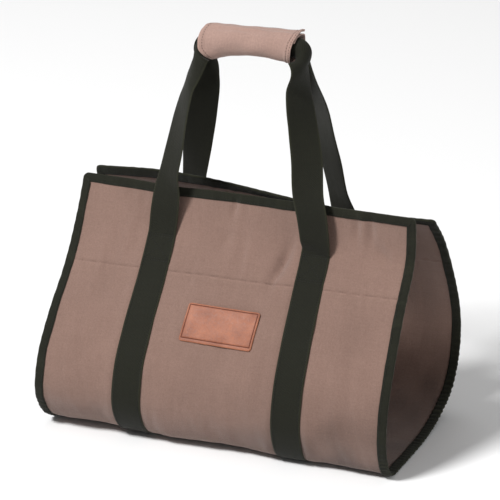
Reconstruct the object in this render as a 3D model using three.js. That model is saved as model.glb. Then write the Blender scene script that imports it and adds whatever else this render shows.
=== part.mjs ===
// Canvas log carrier: a canvas sheet wrapped into an open-ended sling, bound with folded tape,
// with two webbing handles gathered in a rolled canvas grip. Millimetres, +Z up, length along X,
// front towards -Y. Every piece is a thick sheet: two skins a wall apart, joined round their rim.
import * as THREE from 'three';

// Driving dimensions of the sling
const CARRIER_LENGTH = 480;       // along X, over the bound ends
const CARRIER_DEPTH = 290;        // front bulge to back bulge
const CARRIER_HEIGHT = 325;       // base to the highest corner of the front panel
const CANVAS_WALL = 1.5;
const BACK_EDGE_SWAY = 6;         // the back edge rises on the left and dips on the right
const SWAY_REACH = 120;           // how far down the back panel the sway is felt
const BASE_SETTLE = 6;            // the back of the base lies lower between the bound ends, and
const SETTLE_REACH = 14;          // how high up the wrap that is felt
const SETTLE_SHARES = { from: 0.5, to: 0.56 };    // where along the wrap it begins
const SETTLE_SPAN = { full: 0.6, none: 0.8 };     // and where towards the ends it fades

// Driving dimensions of the binding tape
const BINDING_WIDTH = 12;
const BINDING_WALL = 1;
const BINDING_CORNER = 6;
const FOLD_SOFTNESS = 0.7;        // how much of the tape's wall its folded edge is rounded by
const FOLD_NOOK = 0.25;           // and the inside of the fold

// Driving dimensions of the webbing handles
const WEBBING_WIDTH = 40;
const WEBBING_THICKNESS = 1.8;
const STRAP_SPACING = 218;        // between the centres of the left and right straps
const STRAP_SHIFT = -3;           // the pair of straps sits a little left of the middle
const BOX_STITCH_DROP = 65;       // from the top edge to where the webbing leaves the panel
const BASE_JOIN_SHARE = 0.494;    // where the two bands meet, as a share of the wrap

// Driving dimensions of the grip
const GRIP_LENGTH = 125;
const GRIP_SHIFT = -4.5;
const GRIP_DEPTH = 159;           // from the front bulge back to the grip's axis
const GRIP_RISE = 506.5;          // from the base of the canvas up to the grip's axis at its ends
const GRIP_TILT = 0.078;          // rise per mm along X
const GRIP_BOW = 3.3;             // how much higher the middle of the axis is
const GRIP_WALL = 1.6;
const GRIP_LAYER_GAP = 0.4;
const GRIP_CLEARANCE = 0.7;       // between the sleeve and the bands rolled inside it
const CURL_SWEEP = 171;           // degrees of the roll that each band takes up in the grip
const BEND_RADIUS = 20;           // a band turning out of the grip
const GRIP_ENDS = {
  left: { exit: 5, undercut: 18 },      // how far beyond the grip's end a band turns down, and
  right: { exit: 8, undercut: 10 },     // how much shorter the sleeve is underneath
};

// Driving dimensions of the leather patch
const PATCH_LENGTH = 100;
const PATCH_HEIGHT = 49;
const PATCH_THICKNESS = 2;
const PATCH_CORNER = 3;
const PATCH_DROP = 151;           // from the top edge of the front panel, along the canvas

// Clearance between pieces that touch, and the fineness of the faceting
const GAP = 0.3;
const WRAP_ROWS = 54;
const LENGTH_COLUMNS = 10;
const SECTION_SAMPLES = 400;
const NORMAL_REACH = 3;           // half of the span that a face direction is measured over

// Sections of the sling at its two ends, from the front top edge round the base to the back top
// edge. Depths are shares of CARRIER_DEPTH and heights are shares of CARRIER_HEIGHT.
const SECTIONS = [
  { at: 'front top edge', left: { depth: 0.546, height: 0.930 }, right: { depth: 0.379, height: 1.000 } },
  { at: 'front lip', left: { depth: 0.450, height: 0.766 }, right: { depth: 0.375, height: 0.830 } },
  { at: 'front seam', left: { depth: 0.326, height: 0.608 }, right: { depth: 0.258, height: 0.660 } },
  { at: 'front middle', left: { depth: 0.163, height: 0.462 }, right: { depth: 0.156, height: 0.486 } },
  { at: 'front bulge', left: { depth: 0.033, height: 0.306 }, right: { depth: 0.075, height: 0.309 } },
  { at: 'front turn', left: { depth: 0.001, height: 0.154 }, right: { depth: 0.062, height: 0.135 } },
  { at: 'front corner', left: { depth: 0.103, height: 0.030 }, right: { depth: 0.132, height: 0.015 } },
  { at: 'base front', left: { depth: 0.287, height: 0 }, right: { depth: 0.298, height: 0 } },
  { at: 'base middle', left: { depth: 0.504, height: 0 }, right: { depth: 0.514, height: 0 } },
  { at: 'base back', left: { depth: 0.711, height: 0.019 }, right: { depth: 0.730, height: 0.028 } },
  { at: 'back corner', left: { depth: 0.878, height: 0.107 }, right: { depth: 0.915, height: 0.104 } },
  { at: 'back turn', left: { depth: 0.972, height: 0.252 }, right: { depth: 1.000, height: 0.240 } },
  { at: 'back bulge', left: { depth: 0.984, height: 0.429 }, right: { depth: 0.992, height: 0.417 } },
  { at: 'back lip', left: { depth: 0.825, height: 0.775 }, right: { depth: 0.781, height: 0.764 } },
  { at: 'back top edge', left: { depth: 0.688, height: 0.926 }, right: { depth: 0.624, height: 0.917 } },
];

// Free stretches of the bands, from the box stitch up to the grip. rise is the share of the height,
// across the share of the way in to the grip's end, proud the share of the webbing's width that the
// band stands in front of a straight line, and turn the degrees its outer face turns outwards.
const STRANDS = {
  frontLeft: [
    { rise: 0.12, across: 0.07, proud: 0, turn: 3 },
    { rise: 0.22, across: 0.13, proud: 0, turn: 11 },
    { rise: 0.32, across: 0.16, proud: 0, turn: 28 },
    { rise: 0.45, across: 0.31, proud: 0, turn: 31 },
    { rise: 0.60, across: 0.46, proud: 0, turn: 37 },
    { rise: 0.74, across: 0.72, proud: 0, turn: 45 },
    { rise: 0.84, across: 0.93, proud: 0, turn: 46 },
  ],
  frontRight: [
    { rise: 0.07, across: 0.03, proud: 0.05, turn: 0 },
    { rise: 0.20, across: 0.155, proud: 0.15, turn: 6 },
    { rise: 0.31, across: 0.28, proud: 0.14, turn: 9 },
    { rise: 0.47, across: 0.50, proud: 0.03, turn: 16 },
    { rise: 0.62, across: 0.68, proud: 0, turn: 35 },
    { rise: 0.75, across: 0.81, proud: 0, turn: 46 },
    { rise: 0.84, across: 0.89, proud: 0, turn: 54 },
  ],
  backLeft: [
    { rise: 0.08, across: -0.03, proud: 0, turn: -8 },
    { rise: 0.17, across: -0.01, proud: 0, turn: -15 },
    { rise: 0.26, across: 0.11, proud: 0, turn: -7 },
    { rise: 0.40, across: 0.30, proud: 0, turn: 12 },
    { rise: 0.575, across: 0.56, proud: 0, turn: 38 },
    { rise: 0.72, across: 0.83, proud: 0, turn: 54 },
    { rise: 0.80, across: 0.92, proud: 0, turn: 58 },
  ],
  backRight: [
    { rise: 0.08, across: 0.14, proud: 0, turn: 16 },
    { rise: 0.20, across: 0.30, proud: 0, turn: 28 },
    { rise: 0.375, across: 0.50, proud: 0, turn: 26 },
    { rise: 0.50, across: 0.60, proud: 0, turn: 30 },
    { rise: 0.67, across: 0.77, proud: 0, turn: 34 },
    { rise: 0.80, across: 0.93, proud: 0, turn: 42 },
  ],
};
const STRAND_STEPS = 4;

// The bend of a band out of the grip, as places on a quarter turn. apart is the share of the curl's
// radius that the band stands away from the other one.
const GRIP_BEND = [
  { degrees: 0, turn: 34, curl: 0.85, apart: 0.55 },
  { degrees: 35, turn: 16, curl: 0.95, apart: 0.25 },
  { degrees: 65, turn: 3, curl: 1, apart: 0.05 },
  { degrees: 90, turn: 0, curl: 1, apart: 0 },
];
const CURL_START = 0.66;          // share of the rise where a band starts to curl lengthwise
const STRAND_CURL = 0.8;          // and its curl by the end of the rise

// Girth of the rolled grip along its length: at is a share of the length, girth of the radius
const GRIP_GIRTH = [
  { at: 0, girth: 1.29 },
  { at: 0.08, girth: 1.24 },
  { at: 0.24, girth: 1.07 },
  { at: 0.5, girth: 1.0 },
  { at: 0.76, girth: 1.09 },
  { at: 0.92, girth: 1.20 },
  { at: 1, girth: 1.27 },
];
const ROLL_START = -60;           // degrees from the top towards the back, of the hidden edge
const ROLL_END = 410;             // of the showing edge, more than one turn on
const ROLL_CLIMB = { from: 110, to: 280 };
const ROLL_STEPS = 34;
const GRIP_STATIONS = [-0.5, -0.17, 0.17, 0.5];   // rows of the bands in the grip, as shares

const COLOURS = {
  canvas: 0x9c7f74,
  binding: 0x2c2e28,
  webbing: 0x2b2c26,
  leather: 0xbd7b60,
};

// Sizes worked out from the ones above
const HALF_LENGTH = CARRIER_LENGTH / 2;
const CANVAS_INSET = BINDING_WALL + GAP;
const BASE_LIFT = WEBBING_THICKNESS + GAP;
const CANVAS_CORNER = BINDING_CORNER + BINDING_WALL - GAP;
const CURL_RADIUS = WEBBING_WIDTH / THREE.MathUtils.degToRad(CURL_SWEEP);
const GRIP_INNER_RADIUS = CURL_RADIUS + WEBBING_THICKNESS / 2 + GRIP_CLEARANCE;
const GRIP_OUTER_CLIMB = GRIP_WALL + GRIP_LAYER_GAP;

function sectionCurve(side) {
  const points = SECTIONS.map((row) => new THREE.Vector3(
    0,
    row[side].depth * CARRIER_DEPTH,
    row[side].height * CARRIER_HEIGHT,
  ));
  const curve = new THREE.CatmullRomCurve3(points, false, 'centripetal');
  curve.arcLengthDivisions = SECTION_SAMPLES * 2;
  return { samples: curve.getSpacedPoints(SECTION_SAMPLES), length: curve.getLength() };
}

const LEFT_SECTION = sectionCurve('left');
const RIGHT_SECTION = sectionCurve('right');
const WRAP = (LEFT_SECTION.length + RIGHT_SECTION.length) / 2;
const BASE_JOIN = BASE_JOIN_SHARE * WRAP;

function sampleSection(section, share) {
  const place = THREE.MathUtils.clamp(share, 0, 1) * SECTION_SAMPLES;
  const low = Math.min(Math.floor(place), SECTION_SAMPLES - 1);
  return section.samples[low].clone().lerp(section.samples[low + 1], place - low);
}

// Outer face of the canvas, x along the carrier and s along the wrap from the front top edge
function canvasFace(x, s) {
  const share = s / WRAP;
  const point = sampleSection(LEFT_SECTION, share);
  point.lerp(sampleSection(RIGHT_SECTION, share), x / CARRIER_LENGTH + 0.5);
  const along = Math.abs(2 * x) / CARRIER_LENGTH;
  const settled = BASE_SETTLE * (1 - THREE.MathUtils.smoothstep(along, SETTLE_SPAN.full, SETTLE_SPAN.none))
    * THREE.MathUtils.smoothstep(share, SETTLE_SHARES.from, SETTLE_SHARES.to)
    * Math.exp(-Math.max(point.z, 0) / SETTLE_REACH);
  const felt = Math.max(0, 1 - (WRAP - s) / SWAY_REACH);
  const sway = -BACK_EDGE_SWAY * Math.sin((2 * Math.PI * x) / CARRIER_LENGTH) * felt * felt;
  return new THREE.Vector3(x, point.y, Math.max(point.z - settled, 0) + sway + BASE_LIFT);
}

function outwardNormal(x, s) {
  const lengthwise = canvasFace(x + NORMAL_REACH, s).sub(canvasFace(x - NORMAL_REACH, s));
  const low = Math.max(s - NORMAL_REACH, 0);
  const high = Math.min(s + NORMAL_REACH, WRAP);
  const round = canvasFace(x, high).sub(canvasFace(x, low));
  return lengthwise.cross(round).normalize().negate();
}

// A point held off the outer face of the canvas, outwards when offset is positive
function offCanvas(x, s, offset) {
  return canvasFace(x, s).addScaledVector(outwardNormal(x, s), offset);
}

// Stations along the wrap, on shared rows so that layers facet alike
function wrapRows(from, to) {
  const pitch = WRAP / WRAP_ROWS;
  const clear = pitch / 6;
  const rows = [from];
  for (let k = 0; k <= WRAP_ROWS; k += 1) {
    const s = k * pitch;
    if (s > from + clear && s < to - clear) rows.push(s);
  }
  rows.push(to);
  return rows;
}

// Closed solid between two grids of points of the same size
function thickSheet(outer, inner) {
  const rows = outer.length;
  const columns = outer[0].length;
  const positions = [];
  for (const grid of [outer, inner]) {
    for (const row of grid) for (const point of row) positions.push(point.x, point.y, point.z);
  }
  const top = (i, j) => i * columns + j;
  const under = (i, j) => (rows + i) * columns + j;
  const index = [];
  const quad = (a, b, c, d) => index.push(a, b, c, a, c, d);
  for (let i = 0; i < rows - 1; i += 1) {
    for (let j = 0; j < columns - 1; j += 1) {
      quad(top(i, j), top(i + 1, j), top(i + 1, j + 1), top(i, j + 1));
      quad(under(i, j), under(i, j + 1), under(i + 1, j + 1), under(i + 1, j));
    }
    quad(top(i, 0), under(i, 0), under(i + 1, 0), top(i + 1, 0));
    quad(top(i, columns - 1), top(i + 1, columns - 1), under(i + 1, columns - 1), under(i, columns - 1));
  }
  for (let j = 0; j < columns - 1; j += 1) {
    quad(top(0, j), top(0, j + 1), under(0, j + 1), under(0, j));
    quad(top(rows - 1, j), under(rows - 1, j), under(rows - 1, j + 1), top(rows - 1, j + 1));
  }
  if (signedVolume(positions, index) < 0) {
    for (let k = 0; k < index.length; k += 3) [index[k], index[k + 1]] = [index[k + 1], index[k]];
  }
  const geometry = new THREE.BufferGeometry();
  geometry.setAttribute('position', new THREE.Float32BufferAttribute(positions, 3));
  geometry.setIndex(index);
  geometry.computeVertexNormals();
  return geometry;
}

function signedVolume(positions, index) {
  const corner = (k) => new THREE.Vector3().fromArray(positions, index[k] * 3);
  let total = 0;
  for (let k = 0; k < index.length; k += 3) {
    total += corner(k).dot(corner(k + 1).cross(corner(k + 2))) / 6;
  }
  return total;
}

// Sheet laid on the canvas surface, with rounded corners
function laidSheet({ halfLength, from, to, corner, outside, inside, columns }) {
  const arcRows = [0, corner * (1 - Math.SQRT1_2), corner];
  const rows = [
    ...arcRows.map((d) => from + d),
    ...wrapRows(from + corner, to - corner).slice(1, -1),
    ...arcRows.map((d) => to - d).reverse(),
  ];
  const cutBack = (d) => (d < corner ? corner - Math.sqrt(corner ** 2 - (corner - d) ** 2) : 0);
  const face = (offset) => rows.map((s) => {
    const half = halfLength - cutBack(Math.min(s - from, to - s));
    return columns.map((share) => offCanvas(share * half, s, offset));
  });
  return thickSheet(face(outside), face(inside));
}

function evenColumns(count) {
  return Array.from({ length: count + 1 }, (_, k) => (2 * k) / count - 1);
}

function canvasPanel() {
  return laidSheet({
    halfLength: HALF_LENGTH - CANVAS_INSET,
    from: CANVAS_INSET,
    to: WRAP - CANVAS_INSET,
    corner: CANVAS_CORNER,
    outside: 0,
    inside: -CANVAS_WALL,
    columns: evenColumns(LENGTH_COLUMNS),
  });
}

function leatherPatch() {
  return laidSheet({
    halfLength: PATCH_LENGTH / 2,
    from: PATCH_DROP,
    to: PATCH_DROP + PATCH_HEIGHT,
    corner: PATCH_CORNER,
    outside: GAP + PATCH_THICKNESS,
    inside: GAP,
    columns: [-1, -0.5, 0, 0.5, 1],
  });
}

// Folded tape in section: inward from the folded edge, and off the outer face of the canvas
function bindingProfile() {
  const outFace = GAP + BINDING_WALL;
  const inFace = -CANVAS_WALL - GAP - BINDING_WALL;
  const soft = BINDING_WALL * FOLD_SOFTNESS;
  const outer = [
    { inward: BINDING_WIDTH, off: outFace },
    { inward: soft, off: outFace },
    { inward: 0, off: outFace - soft },
    { inward: 0, off: inFace + soft },
    { inward: soft, off: inFace },
    { inward: BINDING_WIDTH, off: inFace },
  ];
  const nook = BINDING_WALL * FOLD_NOOK;
  const inner = [
    { inward: BINDING_WIDTH, off: GAP },
    { inward: BINDING_WALL + nook, off: GAP },
    { inward: BINDING_WALL, off: GAP - nook },
    { inward: BINDING_WALL, off: -CANVAS_WALL - GAP + nook },
    { inward: BINDING_WALL + nook, off: -CANVAS_WALL - GAP },
    { inward: BINDING_WIDTH, off: -CANVAS_WALL - GAP },
  ];
  return { outer, inner };
}

// One side of the binding. place(along, inward) gives x and s, and stations are the distances of
// its rows from the corner that it starts at. Both ends are mitred, with half a gap to the next.
function bindingSide(place, length, stations) {
  const { outer, inner } = bindingProfile();
  const rounding = BINDING_CORNER * (1 - Math.SQRT1_2);
  const mitre = (point) => {
    const inward = rounding + point.inward * (1 - rounding / BINDING_WIDTH);
    return { along: inward + GAP * Math.SQRT1_2, inward };
  };
  const shoulder = (point) => ({
    along: THREE.MathUtils.lerp(BINDING_CORNER, BINDING_WIDTH + 1, point.inward / BINDING_WIDTH),
    inward: point.inward,
  });
  const rowsOf = [
    mitre,
    shoulder,
    ...stations.map((along) => (point) => ({ along, inward: point.inward })),
    (point) => ({ ...shoulder(point), along: length - shoulder(point).along }),
    (point) => ({ ...mitre(point), along: length - mitre(point).along }),
  ];
  const face = (profile) => rowsOf.map((row) => profile.map((point) => {
    const { along, inward } = row(point);
    const { x, s } = place(along, inward);
    return offCanvas(x, s, point.off);
  }));
  return thickSheet(face(outer), face(inner));
}

function bindingEnd(sign) {
  const clear = BINDING_WIDTH + 4;
  const stations = wrapRows(clear, WRAP - clear).slice(1, -1);
  return bindingSide((along, inward) => ({ x: sign * (HALF_LENGTH - inward), s: along }), WRAP, stations);
}

function bindingTop(isBack) {
  const count = LENGTH_COLUMNS;
  const stations = Array.from({ length: count - 1 }, (_, k) => (CARRIER_LENGTH * (k + 1)) / count);
  const place = (along, inward) => ({ x: along - HALF_LENGTH, s: isBack ? WRAP - inward : inward });
  return bindingSide(place, CARRIER_LENGTH, stations);
}

function gripAxis(x) {
  const share = (2 * (x - GRIP_SHIFT)) / GRIP_LENGTH;
  const rise = GRIP_RISE + GRIP_TILT * (x - GRIP_SHIFT) + GRIP_BOW * Math.max(0, 1 - share * share);
  return new THREE.Vector3(x, GRIP_DEPTH, rise + BASE_LIFT);
}

// Row of a band lying on the canvas
function sewnRow(x, s) {
  return { at: offCanvas(x, s, GAP + WEBBING_THICKNESS / 2), face: outwardNormal(x, s), curl: 0, steps: 1 };
}

// Rows of the free stretch of a band, from the box stitch up to where it enters the grip
function strandRows(table, boxRow, side, isBack) {
  const facing = isBack ? 1 : -1;
  const gripEnd = GRIP_SHIFT + (side * GRIP_LENGTH) / 2;
  const column = gripEnd + side * GRIP_ENDS[side < 0 ? 'left' : 'right'].exit;
  const top = gripAxis(gripEnd);
  const depthInGrip = top.y + facing * CURL_RADIUS;
  const rows = table.map(({ rise, across, proud, turn }) => {
    const angle = THREE.MathUtils.degToRad(turn);
    return {
      at: new THREE.Vector3(
        THREE.MathUtils.lerp(boxRow.at.x, column, across),
        THREE.MathUtils.lerp(boxRow.at.y, depthInGrip, rise) + facing * proud * WEBBING_WIDTH,
        THREE.MathUtils.lerp(boxRow.at.z, top.z, rise),
      ),
      face: new THREE.Vector3(side * Math.sin(angle), facing * Math.cos(angle), 0),
      curl: Math.max(0, (rise - CURL_START) / (1 - CURL_START)) * STRAND_CURL,
      steps: STRAND_STEPS,
    };
  });
  for (const { degrees, turn, curl, apart } of GRIP_BEND) {
    const angle = THREE.MathUtils.degToRad(degrees);
    const swing = THREE.MathUtils.degToRad(turn);
    const x = column - side * BEND_RADIUS * (1 - Math.cos(angle));
    rows.push({
      at: new THREE.Vector3(
        x,
        depthInGrip + facing * apart * CURL_RADIUS,
        gripAxis(x).z - BEND_RADIUS * (1 - Math.sin(angle)),
      ),
      face: new THREE.Vector3(side * Math.sin(swing), facing * Math.cos(swing), 0),
      curl,
      steps: 2,
    });
  }
  return rows;
}

// One continuous band: up the left strap, over through the grip, and down the right strap
function bandRows(isBack) {
  const strapX = (side) => STRAP_SHIFT + (side * STRAP_SPACING) / 2;
  const boxTop = isBack ? WRAP - BOX_STITCH_DROP : BOX_STITCH_DROP;
  const baseEnd = BASE_JOIN + (isBack ? GAP / 2 : -GAP / 2);
  const upward = isBack ? wrapRows(baseEnd, boxTop) : wrapRows(boxTop, baseEnd).reverse();
  const leftRows = upward.map((s) => sewnRow(strapX(-1), s));
  const rightRows = upward.map((s) => sewnRow(strapX(1), s));
  const boxLeft = leftRows[leftRows.length - 1];
  const boxRight = rightRows[rightRows.length - 1];
  boxLeft.steps = STRAND_STEPS;
  const left = strandRows(isBack ? STRANDS.backLeft : STRANDS.frontLeft, boxLeft, -1, isBack);
  const right = strandRows(isBack ? STRANDS.backRight : STRANDS.frontRight, boxRight, 1, isBack);
  const facing = isBack ? 1 : -1;
  const inGrip = GRIP_STATIONS.map((share) => {
    const at = gripAxis(GRIP_SHIFT + (share * GRIP_LENGTH) / 2);
    at.y += facing * CURL_RADIUS;
    return { at, face: new THREE.Vector3(0, facing, 0), curl: 1, steps: 1 };
  });
  return [...leftRows, ...left, ...inGrip, ...right.reverse(), ...rightRows.reverse()];
}

function refinedRows(rows) {
  const path = new THREE.CatmullRomCurve3(rows.map((row) => row.at), false, 'centripetal');
  const fine = [];
  rows.forEach((row, k) => {
    const next = rows[k + 1];
    const steps = next ? Math.max(1, Math.min(row.steps, next.steps === 1 ? row.steps : next.steps)) : 1;
    for (let step = 0; step < steps; step += 1) {
      const part = step / steps;
      const ease = part * part * (3 - 2 * part);
      fine.push({
        at: path.getPoint((k + part) / (rows.length - 1)),
        face: next ? row.face.clone().lerp(next.face, ease) : row.face.clone(),
        curl: next ? THREE.MathUtils.lerp(row.curl, next.curl, ease) : row.curl,
      });
    }
  });
  return fine;
}

// Webbing swept along its rows. curl 1 rolls its width onto the radius that fits in the grip.
function webbingBand(isBack) {
  const rows = refinedRows(bandRows(isBack));
  const across = [-1, -1 / 3, 1 / 3, 1];
  const half = WEBBING_WIDTH / 2;
  const outer = [];
  const inner = [];
  rows.forEach((row, k) => {
    const before = rows[Math.max(k - 1, 0)].at;
    const after = rows[Math.min(k + 1, rows.length - 1)].at;
    const along = after.clone().sub(before).normalize();
    const face = row.face.clone().addScaledVector(along, -row.face.dot(along)).normalize();
    const width = along.clone().cross(face);
    const skin = (offset) => across.map((share) => {
      if (row.curl < 1e-3) {
        return row.at.clone().addScaledVector(width, share * half).addScaledVector(face, offset);
      }
      const radius = CURL_RADIUS / row.curl;
      const angle = (share * half) / radius;
      return row.at.clone()
        .addScaledVector(width, Math.sin(angle) * (radius + offset))
        .addScaledVector(face, Math.cos(angle) * (radius + offset) - radius);
    });
    outer.push(skin(WEBBING_THICKNESS / 2));
    inner.push(skin(-WEBBING_THICKNESS / 2));
  });
  return thickSheet(outer, inner);
}

// The grip is a canvas sleeve rolled a little more than one turn round both bands
function gripWrap() {
  const turns = Array.from({ length: ROLL_STEPS + 1 }, (_, k) => (
    THREE.MathUtils.lerp(ROLL_START, ROLL_END, k / ROLL_STEPS)
  ));
  const skin = (wall) => GRIP_GIRTH.map(({ at, girth }) => {
    const undercut = GRIP_ENDS[at < 0.5 ? 'left' : 'right'].undercut / (GRIP_LENGTH / 2);
    return turns.map((degrees) => {
      const below = Math.max(0, -Math.cos(THREE.MathUtils.degToRad(degrees)));
      const centre = gripAxis(GRIP_SHIFT + (at - 0.5) * GRIP_LENGTH * (1 - undercut * below));
      const climb = THREE.MathUtils.smoothstep(degrees, ROLL_CLIMB.from, ROLL_CLIMB.to);
      const radius = GRIP_INNER_RADIUS * girth + climb * GRIP_OUTER_CLIMB + wall;
      const angle = THREE.MathUtils.degToRad(degrees);
      return new THREE.Vector3(
        centre.x,
        centre.y + radius * Math.sin(angle),
        centre.z + radius * Math.cos(angle),
      );
    });
  });
  return thickSheet(skin(GRIP_WALL), skin(0));
}

function material(color, roughness) {
  return new THREE.MeshStandardMaterial({ color, roughness, metalness: 0 });
}

const canvasCloth = material(COLOURS.canvas, 0.9);
const bindingTape = material(COLOURS.binding, 0.8);
const wovenWebbing = material(COLOURS.webbing, 0.75);
const patchLeather = material(COLOURS.leather, 0.6);

const carrier = new THREE.Group();

function addPiece(name, geometry, cloth) {
  const mesh = new THREE.Mesh(geometry, cloth);
  mesh.name = name;
  carrier.add(mesh);
}

addPiece('canvas_panel', canvasPanel(), canvasCloth);
addPiece('binding_front', bindingTop(false), bindingTape);
addPiece('binding_back', bindingTop(true), bindingTape);
addPiece('binding_left', bindingEnd(-1), bindingTape);
addPiece('binding_right', bindingEnd(1), bindingTape);
addPiece('webbing_front', webbingBand(false), wovenWebbing);
addPiece('webbing_back', webbingBand(true), wovenWebbing);
addPiece('grip_wrap', gripWrap(), canvasCloth);
addPiece('leather_patch', leatherPatch(), patchLeather);

// The origin is on the floor under the middle of the carrier
const bounds = new THREE.Box3().setFromObject(carrier);
const middle = bounds.getCenter(new THREE.Vector3());
carrier.position.set(-middle.x, -middle.y, -bounds.min.z);
carrier.updateMatrixWorld(true);

export default carrier;
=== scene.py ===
# Looks of the canvas log carrier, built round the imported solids. The tables and shape functions
# hold millimetres in the solids' frame, and the meshes are metres. x runs along the carrier, and
# s along the wrap of the sling, from its front top edge round the base to its back top edge.
import math

import bpy
import numpy as np
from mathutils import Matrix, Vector


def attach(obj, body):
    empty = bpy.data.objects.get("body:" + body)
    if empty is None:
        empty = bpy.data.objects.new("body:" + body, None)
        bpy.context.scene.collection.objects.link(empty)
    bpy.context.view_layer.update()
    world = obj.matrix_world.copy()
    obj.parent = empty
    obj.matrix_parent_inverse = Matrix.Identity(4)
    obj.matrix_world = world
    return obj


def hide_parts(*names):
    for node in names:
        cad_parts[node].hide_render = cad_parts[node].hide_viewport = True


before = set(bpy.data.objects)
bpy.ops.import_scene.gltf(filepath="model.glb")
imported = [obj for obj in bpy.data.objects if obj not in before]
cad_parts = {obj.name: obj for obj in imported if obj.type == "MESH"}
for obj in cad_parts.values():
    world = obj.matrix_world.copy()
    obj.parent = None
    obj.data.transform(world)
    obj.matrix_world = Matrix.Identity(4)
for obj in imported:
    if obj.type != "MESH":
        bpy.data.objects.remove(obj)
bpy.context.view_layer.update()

# Sizes of the solids
CARRIER_LENGTH = 480.0
CARRIER_DEPTH = 290.0
CARRIER_HEIGHT = 325.0
CANVAS_WALL = 1.5
BACK_EDGE_SWAY = 6.0
SWAY_REACH = 120.0
BASE_SETTLE = 6.0
SETTLE_REACH = 14.0
SETTLE_SHARES = (0.5, 0.56)
SETTLE_SPAN = (0.6, 0.8)
BINDING_WIDTH = 12.0
BINDING_WALL = 1.0
WEBBING_WIDTH = 40.0
WEBBING_THICKNESS = 1.8
STRAP_SPACING = 218.0
STRAP_SHIFT = -3.0
BOX_STITCH_DROP = 65.0
BASE_JOIN_SHARE = 0.494
GRIP_LENGTH = 125.0
GRIP_SHIFT = -4.5
GRIP_DEPTH = 159.0
GRIP_RISE = 506.5
GRIP_TILT = 0.078
GRIP_BOW = 3.3
GRIP_WALL = 1.6
GRIP_CLEARANCE = 0.7
PATCH_LENGTH = 100.0
PATCH_HEIGHT = 49.0
PATCH_THICKNESS = 2.0
PATCH_DROP = 151.0
GAP = 0.3
FRAME_OFFSET = np.array([-0.060, -146.014, 0.0])

HALF_LENGTH = CARRIER_LENGTH / 2
STRAP_CENTRES = (STRAP_SHIFT - STRAP_SPACING / 2, STRAP_SHIFT + STRAP_SPACING / 2)
BASE_LIFT = WEBBING_THICKNESS + GAP
CURL_RADIUS = WEBBING_WIDTH / math.radians(171)
GRIP_INNER_RADIUS = CURL_RADIUS + WEBBING_THICKNESS / 2 + GRIP_CLEARANCE

# Sections of the sling at its ends: depth share and height share, left then right
SECTIONS = [
    (0.546, 0.930, 0.379, 1.000),
    (0.450, 0.766, 0.375, 0.830),
    (0.326, 0.608, 0.258, 0.660),
    (0.163, 0.462, 0.156, 0.486),
    (0.033, 0.306, 0.075, 0.309),
    (0.001, 0.154, 0.062, 0.135),
    (0.103, 0.030, 0.132, 0.015),
    (0.287, 0.000, 0.298, 0.000),
    (0.504, 0.000, 0.514, 0.000),
    (0.711, 0.019, 0.730, 0.028),
    (0.878, 0.107, 0.915, 0.104),
    (0.972, 0.252, 1.000, 0.240),
    (0.984, 0.429, 0.992, 0.417),
    (0.825, 0.775, 0.781, 0.764),
    (0.688, 0.926, 0.624, 0.917),
]

# Free strands: rise, across, proud and turn of each row, from the box stitch to the grip
STRANDS = {
    (-1, -1): [
        (0.12, 0.07, 0.0, 3),
        (0.22, 0.13, 0.0, 11),
        (0.32, 0.185, 0.0, 31),
        (0.45, 0.345, 0.0, 36),
        (0.60, 0.51, 0.0, 43),
        (0.72, 0.64, 0.0, 49),
        (0.81, 0.75, 0.0, 53),
    ],
    (1, -1): [
        (0.07, -0.04, 0.22, 0),
        (0.20, 0.09, 0.36, 5),
        (0.31, 0.36, 0.30, 12),
        (0.47, 0.60, 0.12, 29),
        (0.62, 0.92, 0.0, 44),
        (0.72, 1.07, 0.0, 50),
        (0.80, 1.13, 0.0, 58),
    ],
    (-1, 1): [
        (0.08, -0.03, 0.0, -8),
        (0.17, -0.01, 0.0, -15),
        (0.26, 0.11, 0.0, -7),
        (0.40, 0.33, 0.0, 12),
        (0.575, 0.64, 0.0, 29),
        (0.72, 0.85, 0.0, 32),
        (0.80, 0.90, 0.0, 39),
    ],
    (1, 1): [
        (0.08, 0.14, 0.0, 16),
        (0.20, 0.30, 0.0, 28),
        (0.375, 0.44, 0.0, 26),
        (0.50, 0.54, 0.0, 30),
        (0.67, 0.66, 0.0, 34),
        (0.80, 0.84, 0.0, 33),
    ],
}
# A strand starts to curl at this share of its rise, and reaches this share of the full curl
CURL_START = 0.66
STRAND_CURL = 0.8
# Where a strand bends under the sleeve's end: the radius of the bend, how far beyond the end each
# strand hangs, and how far the underside of the sleeve is cut back at each end
BEND_RADIUS = 20.0
GRIP_EXIT = {(-1, -1): 6.5, (1, -1): 18.5, (-1, 1): 9.5, (1, 1): 5.5}
GRIP_UNDERCUT = {-1: 15.0, 1: 5.0}
# Rows of each bend, from its foot up into the sleeve: degrees round the bend, turn, curl, and the
# extra distance from the sleeve's axis in curl radii
GRIP_BEND = {
    (-1, -1): [(0, 48, 0.80, 0.50), (35, 30, 0.95, 0.25), (65, 5, 1.0, 0.05), (90, 0, 1.0, 0.0)],
    (1, -1): [(0, 76, 0.45, 0.60), (35, 40, 0.95, 0.30), (65, 10, 1.0, 0.08), (90, 0, 1.0, 0.0)],
    (-1, 1): [(0, 33, 1.00, 0.55), (35, 20, 1.00, 0.25), (65, 3, 1.0, 0.05), (90, 0, 1.0, 0.0)],
    (1, 1): [(0, 30, 0.85, 0.55), (35, 16, 0.95, 0.25), (65, 3, 1.0, 0.05), (90, 0, 1.0, 0.0)],
}
# Share of the sleeve's length, then its girth there against the girth at its middle
GRIP_GIRTH = [
    (0.0, 1.23),
    (0.08, 1.18),
    (0.24, 1.06),
    (0.5, 1.0),
    (0.76, 1.08),
    (0.92, 1.18),
    (1.0, 1.24),
]


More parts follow.
